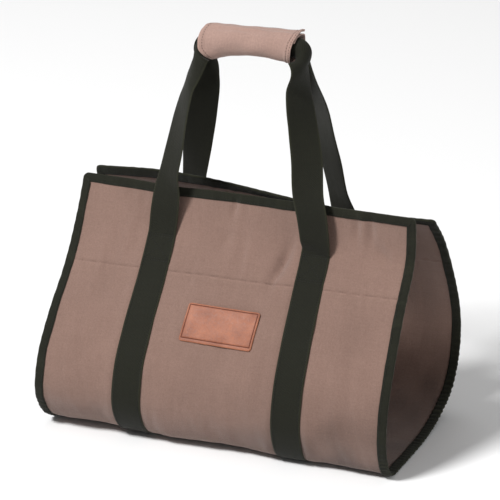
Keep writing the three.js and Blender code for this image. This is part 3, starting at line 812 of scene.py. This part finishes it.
def binding_tape():
    out_face = GAP + BINDING_WALL
    in_face = -CANVAS_WALL - GAP - BINDING_WALL
    middle = (out_face + in_face) / 2
    half = (out_face - in_face) / 2
    bend = [(half * (1 - math.sin(a)), middle + half * math.cos(a)) for a in np.linspace(0, math.pi, 7)]
    inner_half = half - BINDING_WALL
    inner_bend = [
        (half - inner_half * math.sin(a), middle - inner_half * math.cos(a))
        for a in np.linspace(0, math.pi, 5)
    ]
    # section of the folded tape as (inwards from the edge, off the cloth), from the front lip round
    lip = BINDING_WIDTH
    profile = [(lip, GAP + 0.12), (lip + 0.15, GAP + 0.5), (lip - 0.25, out_face - 0.08)]
    profile += [(9.6, out_face), (6.4, out_face)]
    profile += bend
    profile += [(6.4, in_face), (9.6, in_face)]
    profile += [(lip - 0.25, in_face + 0.08), (lip + 0.15, -CANVAS_WALL - GAP - 0.5)]
    profile += [(lip, -CANVAS_WALL - GAP - 0.12), (6.0, -CANVAS_WALL - GAP)]
    profile += inner_bend
    profile += [(6.0, GAP)]
    columns, runs = [], []
    edge_x, edge_s = tape_path(0.0)
    edge = bare_canvas(edge_x, edge_s)
    run = run_of(edge)
    on_side = smoothstep(np.abs(edge_x), HALF_LENGTH - 3, HALF_LENGTH - 0.5)
    bent = smoothstep(edge_s, 295, 335) * smoothstep(WRAP - edge_s, 200, 330) * on_side
    phase = run / 7.4 * 2 * math.pi + 2.4 * ripple(run, 0 * run, 41, 60.0)
    gather = (0.08 + 0.62 * bent) * np.sin(phase) + 0.14 * ripple(run, 0 * run, 43, 23.0)
    edge_wave = 0.75 * bent * np.sin(phase + 1.2) + 0.25 * bent * ripple(run, 0 * run, 44, 9.0)
    for inward, off in profile:
        wander = 0.35 * ripple(run, 0 * run, 47, 55.0) if inward > 9 else 0.0
        x, s = tape_path(inward)
        outside = 1.0 if off > middle else -1.0
        swell = smoothstep(inward, 0.5, 6.0) * outside
        lift = off + gather * swell * (1.0 if abs(off) > 1.0 or inward > 11.5 else 0.35)
        if outside > 0:
            lift = np.maximum(lift, GAP * 0.4)
        else:
            lift = np.minimum(lift, -CANVAS_WALL - GAP * 0.4)
        wave = edge_wave * (1 - inward / BINDING_WIDTH)
        shift_x = np.where(np.abs(edge_x) > HALF_LENGTH - 1, -np.sign(edge_x) * (wander + wave), 0.0)
        shift_s = np.where(np.abs(edge_x) < HALF_LENGTH - 8, np.sign(WRAP / 2 - edge_s) * wander, 0.0)
        columns.append(off_canvas(x + shift_x, s + shift_s, lift))
        runs.append(run)
    rings = np.stack(columns, axis=1)
    across = np.array([inward if off > middle else -inward for inward, off in profile])
    coordinates = np.stack([np.broadcast_to(across, rings.shape[:2]), np.stack(runs, axis=1)], axis=-1)
    # painted highlight and shade: the tape is lighter on the crests of its gathers and darker in their
    # troughs
    crest = np.broadcast_to((gather * 0.45)[:, None], rings.shape[:2])
    fold = np.array([0.22 if inward < 0.9 else 0.0 for inward, _ in profile])
    tone = crest + fold[None, :]
    piece = profile_tube("binding_tape", rings, coordinates, tape_cloth, True, tone)
    return keep(piece, "binding", "binding_front", "binding_back", "binding_left", "binding_right")


def binding_stitches():
    rows = []
    for off, flip in ((GAP + BINDING_WALL, 1.0), (-CANVAS_WALL - GAP - BINDING_WALL, -1.0)):
        x, s = tape_path(BINDING_WIDTH - 2.2)
        path = off_canvas(x, s, off + 0.12 * flip)
        rows.append(path_stitches(path, bare_normal(x, s) * flip, 3.4, 2.5, 0.34))
    return keep(add_stitches("binding_stitches", rows, dark_thread), "binding")


# Webbing. The sewn bands follow this share of the folds in the cloth under them
SEWN_FOLDS = 0.35


def grip_axis(x):
    share = 2 * (x - GRIP_SHIFT) / GRIP_LENGTH
    rise = GRIP_RISE + GRIP_TILT * (x - GRIP_SHIFT) + GRIP_BOW * np.maximum(0, 1 - share * share)
    return np.stack([x + 0 * rise, GRIP_DEPTH + 0 * rise, rise + BASE_LIFT], axis=-1) + FRAME_OFFSET


def sewn_rows(x, places):
    at = off_canvas(x + 0 * places, places, GAP + WEBBING_THICKNESS / 2, SEWN_FOLDS)
    return np.hstack([at, bare_normal(x + 0 * places, places), np.zeros((len(places), 1))])


def strand_rows(side, facing, box):
    end = GRIP_SHIFT + side * GRIP_LENGTH / 2
    column = end + side * GRIP_EXIT[(side, facing)]
    top = grip_axis(np.float64(end))
    depth = top[1] + facing * CURL_RADIUS
    rows = []
    for rise, across, proud, turn in STRANDS[(side, facing)]:
        angle = math.radians(turn)
        curl = max(0.0, (rise - CURL_START) / (1 - CURL_START)) * STRAND_CURL
        rows.append((
            box[0] + (column - box[0]) * across,
            box[1] + (depth - box[1]) * rise + facing * proud * WEBBING_WIDTH,
            box[2] + (top[2] - box[2]) * rise,
            side * math.sin(angle), facing * math.cos(angle), 0.0, curl,
        ))
    radius = BEND_RADIUS
    for degrees, turn, curl, apart in GRIP_BEND[(side, facing)]:
        angle = math.radians(degrees)
        swing = math.radians(turn)
        x = column - side * radius * (1 - math.cos(angle))
        rows.append((
            x,
            depth + facing * apart * CURL_RADIUS,
            grip_axis(np.float64(x))[2] - radius * (1 - math.sin(angle)),
            side * math.sin(swing), facing * math.cos(swing), 0.0, curl,
        ))
    return np.array(rows)


def band_rows(facing):
    base = BASE_JOIN + facing * GAP / 2
    top = WRAP - BOX_STITCH_DROP if facing > 0 else BOX_STITCH_DROP
    places = np.linspace(base, top, 130)
    left, right = [sewn_rows(centre, places) for centre in STRAP_CENTRES]
    left_free = strand_rows(-1, facing, left[-1])
    right_free = strand_rows(1, facing, right[-1])
    middle = []
    for share in (-0.5, -0.17, 0.17, 0.5):
        at = grip_axis(np.float64(GRIP_SHIFT + share * GRIP_LENGTH / 2))
        middle.append((at[0], at[1] + facing * CURL_RADIUS, at[2], 0.0, facing, 0.0, 1.0))
    free = np.vstack([left[-3:], left_free, np.array(middle), right_free[::-1], right[-3:][::-1]])
    steps = 14
    fine = catmull_rom(free, np.linspace(0, 1, steps * (len(free) - 1) + 1), 3)
    lead = steps * 2
    return np.vstack([left[:-1], fine[lead:-lead], right[:-1][::-1]])


def band_frames(facing):
    rows = band_rows(facing)
    at = rows[:, :3]
    ahead = np.vstack([at[1:], at[-1:]])
    behind = np.vstack([at[:1], at[:-1]])
    along = ahead - behind
    along = along / np.linalg.norm(along, axis=1, keepdims=True)
    face = rows[:, 3:6] - along * np.sum(rows[:, 3:6] * along, axis=1, keepdims=True)
    face = face / np.linalg.norm(face, axis=1, keepdims=True)
    width = np.cross(along, face)
    run = run_of(at)
    return at, face, width, rows[:, 6], run


def on_band(frames, share, offset):
    """Points of a band at a share of its half width, held off its middle surface"""
    at, face, width, curl, _ = frames
    half = WEBBING_WIDTH / 2
    bent = np.maximum(curl, 1e-3)
    radius = (CURL_RADIUS / bent)[:, None]
    angle = share * half / radius
    sideways = np.sin(angle) * (radius + offset)
    outwards = np.cos(angle) * (radius + offset) - radius
    return at + width * sideways + face * outwards


def webbing_band(name, facing, node):
    frames = band_frames(facing)
    run = frames[4]
    shares = [-0.985, -0.95, -0.85, -0.65, -0.4, -0.15, 0.15, 0.4, 0.65, 0.85, 0.95, 0.985]
    thick = WEBBING_THICKNESS / 2
    skin = [thick * (0.55 if abs(k) > 0.97 else (0.92 if abs(k) > 0.94 else 1.0)) for k in shares]
    # round the section: outer face, one edge, inner face and the other edge
    section = list(zip(shares, skin)) + [(1.0, 0.0)]
    section += [(share, -offset) for share, offset in zip(shares[::-1], skin[::-1])] + [(-1.0, 0.0)]
    rings = np.stack([on_band(frames, share, offset) for share, offset in section], axis=1)
    across = [share * WEBBING_WIDTH / 2 for share, _ in section]
    # the edges are painted paler than the faces, partly worn fuzz and partly a painted highlight where
    # the edges catch the light
    edge_fuzz_and_highlight = [0.55 if abs(k) == 1 else (0.35 if abs(k) > 0.93 else 0.0) for k, _ in section]
    coordinates = np.stack([
        np.broadcast_to(np.array(across), rings.shape[:2]),
        np.broadcast_to(run[:, None], rings.shape[:2]),
    ], axis=-1)
    tone = np.broadcast_to(np.array(edge_fuzz_and_highlight), rings.shape[:2])
    piece = profile_tube(name, rings, coordinates, webbing_cloth, False, tone)
    return keep(piece, "webbing", node), run[-1]


def strap_row(x, places, pitch, length, radius):
    """Stitches on the outer face of a sewn strap"""
    path = off_canvas(x, places, GAP + WEBBING_THICKNESS + 0.1, SEWN_FOLDS)
    return path_stitches(path, bare_normal(x, places), pitch, length, radius)


def strap_stitches():
    rows = []
    for centre in STRAP_CENTRES:
        front_span = (BOX_STITCH_DROP + 2, BASE_JOIN - 4)
        back_span = (BASE_JOIN + 4, WRAP - BOX_STITCH_DROP - 2)
        for low, high in (front_span, back_span):
            places = np.linspace(low, high, 700)
            for edge in (-1, 1):
                x = centre + edge * (WEBBING_WIDTH / 2 - 3.0) + 0 * places
                row = strap_row(x, places, 3.3, 2.4, 0.36)
                clear = row[0][:, 2] > 1.5
                rows.append((row[0][clear], row[1][clear], row[2][clear], *row[3:]))
        for box in (BOX_STITCH_DROP, WRAP - BOX_STITCH_DROP - 39):
            for place in (box + 1.5, box + 4.5, box + 34.5, box + 37.5):
                x = centre + np.linspace(-17, 17, 60)
                rows.append(strap_row(x, place + 0 * x, 3.1, 2.3, 0.38))
            for lean in (-1, 1):
                x = centre + lean * np.linspace(-16, 16, 80)
                place = box + 5 + np.linspace(0, 29, 80)
                rows.append(strap_row(x, place, 3.1, 2.3, 0.38))
    return keep(add_stitches("strap_stitches", rows, dark_thread), "webbing")


def seam_stitches():
    rows = []
    for back in (False, True):
        for start, end in ((-226, -134), (-90, 84), (128, 226)):
            x = np.linspace(start, end, 300)
            s = seam_at(x)
            if back:
                s = WRAP - s
            path = off_canvas(x, s, 0.05)
            rows.append(path_stitches(path, bare_normal(x, s), 3.6, 2.6, 0.36))
    return keep(add_stitches("seam_stitches", rows, canvas_thread), "canvas")


# Grip
ROLL_START = -60.0
ROLL_END = 392.0
# Degrees round the roll, then how far its left and right edges reach past a straight cut
GRIP_REACH = [
    (-60, -2.0, 4.0),
    (0, -3.0, 6.5),
    (45, -3.0, 7.0),
    (100, -1.0, 4.0),
    (180, 0.0, 1.0),
    (240, -1.5, 0.5),
    (270, 0.5, 1.0),
    (300, 1.5, 2.5),
    (330, 0.0, 4.5),
    (360, -3.5, 6.0),
    (380, -5.0, 7.0),
    (392, -5.5, 7.5),
]
# Share of the roll's length, then how far its top stands over or under the even girth
GRIP_CREST = [
    (0.0, 0.0),
    (0.33, 2.1),
    (0.6, 0.6),
    (0.85, -1.8),
    (1.0, -3.3),
]
# Distance between the two turns of the sleeve, and the greatest depth of its creases
TURN_GAP = 0.4
FOLD_DEPTH = 1.0
# Share of the sleeve's length at which the hem of an end is stitched
HEM_ROW = 0.045


def sleeve_folds(share, degrees):
    """Creases of the sleeve's outer turn, nowhere deeper than FOLD_DEPTH"""
    near_end = np.abs(share - 0.5) * 2
    folds = 0.75 * np.sin(2 * math.pi * share * 1.0 + np.radians(degrees) * 2.0 + 0.9)
    folds = folds + 0.45 * np.sin(2 * math.pi * share * 2.3 - np.radians(degrees) * 3.0)
    folds = folds + 0.35 * np.sin(2 * math.pi * share * 4.1 + np.radians(degrees) * 2.6 + 2.0)
    long_fold = np.exp(-((degrees - 330 + 22 * (share - 0.5)) / 8.0) ** 2)
    folds = folds - 1.5 * long_fold * smoothstep(1 - near_end, 0.0, 0.45)
    folds = folds + 0.8 * np.exp(-((degrees - 346 + 22 * (share - 0.5)) / 9.0) ** 2)
    row = np.minimum(np.abs(share - HEM_ROW), np.abs(share - (1 - HEM_ROW))) * GRIP_LENGTH
    folds = folds - 0.45 * np.exp(-(row / 1.6) ** 2)
    return np.where(folds < 0, -FOLD_DEPTH * np.tanh(-folds / FOLD_DEPTH), folds)


def grip_point(share, degrees, wall):
    """Point of the rolled sleeve, share along it and degrees from the top towards the back"""
    angle = np.radians(degrees)
    table = np.array(GRIP_GIRTH)
    girth = catmull_rom(table, np.linspace(0, 1, 400))
    scale = np.interp(share, girth[:, 0], girth[:, 1])
    below = np.maximum(0, -np.cos(angle))
    cut = np.where(share < 0.5, GRIP_UNDERCUT[-1], GRIP_UNDERCUT[1]) / (GRIP_LENGTH / 2)
    x = GRIP_SHIFT + (share - 0.5) * GRIP_LENGTH * (1 - cut * below ** 1.6)
    # the end edges wander as hand-folded cloth does
    near_end = np.abs(share - 0.5) * 2
    turns, left, right = np.array(GRIP_REACH).T
    reach = np.where(share < 0.5, np.interp(degrees, turns, left), np.interp(degrees, turns, right))
    wander = 0.35 * np.sin(np.radians(degrees) * 3.3 + 0.6)
    x = x + np.sign(share - 0.5) * smoothstep(near_end, 0.3, 1.0) * (wander + reach)
    centre = grip_axis(x)
    climb = smoothstep(degrees, 110, 280)
    radius = GRIP_INNER_RADIUS * scale + climb * (GRIP_WALL + TURN_GAP) + wall
    crest = np.interp(share, *np.array(GRIP_CREST).T)
    radius = radius + crest * np.maximum(0, np.cos(angle))
    # the flap's corners lift and the cloth bags between the rows of stitching
    corner = smoothstep(degrees, 335, 392) * near_end ** 4
    radius = radius + np.where(share < 0.5, 1.6, 1.5) * corner
    # the outer turn's hems are folded double along the free edge and at both ends
    free_edge = np.radians(ROLL_END - degrees) * GRIP_INNER_RADIUS
    hem = smoothstep(9.0 - np.minimum((1 - near_end) * GRIP_LENGTH / 2, free_edge), 0, 2.0)
    radius = radius + 0.8 * hem * smoothstep(degrees, 60, 110) * (1 if wall > 0 else 0)
    radius = radius + sleeve_folds(share, degrees) * smoothstep(degrees, 150, 260)
    # the inner turn is pressed in where the outer turn's creases lie on it
    pressed = np.minimum(0, TURN_GAP - 0.1 + sleeve_folds(share, degrees + 360))
    radius = radius + pressed * smoothstep(60 - degrees, 0, 24)
    direction = np.stack([0 * angle, np.sin(angle), np.cos(angle)], axis=-1)
    return centre + direction * radius[..., None]


def grip_sleeve():
    shares = np.concatenate([
        np.linspace(0, 0.08, 14)[:-1], np.linspace(0.08, 0.92, 70)[:-1], np.linspace(0.92, 1.0, 14),
    ])
    turns = np.linspace(ROLL_START, ROLL_END, 150)
    share, degrees = np.meshgrid(shares, turns, indexing="ij")
    outer = grip_point(share, degrees, GRIP_WALL)
    inner = grip_point(share, degrees, 0.0)
    length = np.radians(degrees) * (GRIP_INNER_RADIUS + 1)
    coordinates = np.stack([length, share * GRIP_LENGTH], axis=-1)
    rim = np.minimum(share, 1 - share) * GRIP_LENGTH
    flap = (ROLL_END - degrees) * math.pi / 180 * GRIP_INNER_RADIUS
    edge = np.minimum(rim, flap)
    tone = 0.30 * np.exp(-edge / 0.9) - 0.16 * np.exp(-((rim - 5.6) / 1.4) ** 2)
    piece = thick_sheet("grip_sleeve", outer, inner, coordinates, grip_cloth, tone)
    return keep(piece, "canvas", "grip_wrap")


def grip_stitches():
    rows = []
    degrees = np.linspace(150, ROLL_END - 6, 300)
    for share in (HEM_ROW, 1 - HEM_ROW, 0.985):
        path = grip_point(share + 0 * degrees, degrees, GRIP_WALL + 0.05)
        centre = grip_axis(path[:, 0])
        outward = path - centre
        rows.append(path_stitches(path, outward, 3.6, 2.6, 0.42))
    shares = np.linspace(0.05, 0.95, 200)
    path = grip_point(shares, ROLL_END - 8 + 0 * shares, GRIP_WALL + 0.05)
    rows.append(path_stitches(path, path - grip_axis(path[:, 0]), 3.6, 2.6, 0.42))
    return keep(add_stitches("grip_stitches", rows, grip_thread), "canvas")


# Leather patch
PATCH_CORNER_RADIUS = 4.0
PATCH_STRETCH = 2.6
PATCH_FOLDS = 0.3
PATCH_LEAN = -0.055
PATCH_BORDER = {"left": 2.7, "right": 2.9, "top": 2.3, "bottom": 4.6}


def patch_place(u, v):
    """x and s of a place on the patch, u from its left edge and v from its top edge"""
    x = u - PATCH_LENGTH / 2 + PATCH_LEAN * v + 0.6
    s = PATCH_DROP + 0.5 + v - 0.006 * (u - PATCH_LENGTH / 2)
    return x, s


def leather_patch():
    length = PATCH_LENGTH
    height = PATCH_HEIGHT + PATCH_STRETCH

    def fine(total, lines):
        ticks = [0, 0.4, 1.0, 1.8, total - 1.8, total - 1.0, total - 0.4, total]
        for line in lines:
            ticks += [line - 0.9, line - 0.45, line, line + 0.45, line + 0.9]
        ticks += list(np.linspace(2.6, total - 2.6, int(total / 2.4)))
        ticks = np.array(sorted(ticks))
        return ticks[np.concatenate([[True], np.diff(ticks) > 0.2])]

    us = fine(length, (PATCH_BORDER["left"], length - PATCH_BORDER["right"]))
    vs = fine(height, (PATCH_BORDER["top"], height - PATCH_BORDER["bottom"]))
    v, u = np.meshgrid(vs, us, indexing="ij")
    r = PATCH_CORNER_RADIUS
    cut_v = np.minimum(v, height - v)
    pull = np.where(cut_v < r, r - np.sqrt(np.maximum(r * r - (r - cut_v) ** 2, 0)), 0)
    u = pull + u * (length - 2 * pull) / length
    left, right = u - PATCH_BORDER["left"], length - PATCH_BORDER["right"] - u
    top, bottom = v - PATCH_BORDER["top"], height - PATCH_BORDER["bottom"] - v
    inside = np.minimum(np.minimum(left, right), np.minimum(top, bottom))
    groove = np.exp(-(inside / 0.48) ** 2)
    edge = np.minimum(np.minimum(u - pull, length - pull - u), np.minimum(v, height - v))
    round_edge = np.where(edge < 1.2, 0.7 * (1 - np.sqrt(np.maximum(1 - (1 - edge / 1.2) ** 2, 0))), 0)
    crown = 0.35 * np.sin(math.pi * u / length) * np.sin(math.pi * v / height)
    lift = 0.4 * smoothstep(u, length - 14, length) + 0.3 * smoothstep(14 - v, 0, 14)
    x, s = patch_place(u, v)
    base = GAP + 0.2 + lift
    outer = off_canvas(x, s, base + PATCH_THICKNESS + crown - 0.5 * groove - round_edge, PATCH_FOLDS)
    inner = off_canvas(x, s, base, PATCH_FOLDS)
    tone = -0.95 * groove + 0.5 * np.exp(-edge / 0.9) - 0.12 * np.exp(-np.maximum(inside, 0) / 3.0)
    coordinates = np.stack([u, v], axis=-1)
    piece = thick_sheet("leather_patch_hide", outer, inner, coordinates, patch_leather, tone, 45.0)
    return keep(piece, "leather", "leather_patch")


canvas_piece = canvas_panel()
tape_piece = binding_tape()
binding_stitches()
front_band, front_run = webbing_band("webbing_front_band", -1, "webbing_front")
back_band, back_run = webbing_band("webbing_back_band", 1, "webbing_back")
strap_stitches()
seam_stitches()
sleeve = grip_sleeve()
grip_stitches()
patch_piece = leather_patch()

# Stage: pale floor, soft light and the camera at the photograph's angle
floor_mesh = bpy.data.meshes.new("floor")
REACH = 30
floor_corners = [(-REACH, -REACH, 0), (REACH, -REACH, 0), (REACH, REACH, 0), (-REACH, REACH, 0)]
floor_mesh.from_pydata(floor_corners, [], [(0, 1, 2, 3)])
floor = bpy.data.objects.new("floor", floor_mesh)
bpy.context.collection.objects.link(floor)
floor_paint, floor_tree, floor_shader = new_material("pale_floor")
floor_shader.inputs["Base Color"].default_value = (0.76, 0.76, 0.76, 1)
floor_shader.inputs["Roughness"].default_value = 0.9
floor_shader.inputs["Specular IOR Level"].default_value = 0.0
floor_mesh.materials.append(floor_paint)

world = bpy.data.worlds.new("studio")
bpy.context.scene.world = world
world.use_nodes = True
background = world.node_tree.nodes["Background"]
background.inputs["Color"].default_value = (1.0, 1.0, 1.0, 1)
background.inputs["Strength"].default_value = 0.30


def area_light(name, place, aim, size, power):
    light = bpy.data.lights.new(name, "AREA")
    light.shape = "DISK"
    light.size = size
    light.energy = power
    lamp = bpy.data.objects.new(name, light)
    lamp.location = place
    lamp.rotation_euler = (Vector(aim) - Vector(place)).to_track_quat("-Z", "Y").to_euler()
    bpy.context.collection.objects.link(lamp)


area_light("key_light", (-2.4, -4.1, 5.7), (0, 0, 0.25), 1.7, 690.0)
area_light("fill_light", (3.4, -0.9, 1.7), (0, 0, 0.25), 1.6, 36.0)
area_light("top_light", (-0.4, 1.9, 3.4), (-0.4, 1.9, 0.0), 2.5, 26.0)

CAMERA_TARGET = Vector((-0.00455, 0.01248, 0.23025))
CAMERA_AZIMUTH = math.radians(23.0)
CAMERA_ELEVATION = math.radians(21.5)
CAMERA_DISTANCE = 4.1378
CAMERA_LENS = 230.46
CAMERA_SENSOR = 36.0
backwards = Vector((
    math.sin(CAMERA_AZIMUTH) * math.cos(CAMERA_ELEVATION),
    -math.cos(CAMERA_AZIMUTH) * math.cos(CAMERA_ELEVATION),
    math.sin(CAMERA_ELEVATION),
))
camera_data = bpy.data.cameras.new("camera")
camera_data.lens = CAMERA_LENS
camera_data.sensor_width = CAMERA_SENSOR
camera_data.clip_end = 100.0
camera = bpy.data.objects.new("camera", camera_data)
camera.location = CAMERA_TARGET + backwards * CAMERA_DISTANCE
camera.rotation_euler = (-backwards).to_track_quat("-Z", "Y").to_euler()
bpy.context.collection.objects.link(camera)
bpy.context.scene.camera = camera
bpy.context.scene.view_settings.view_transform = "Standard"
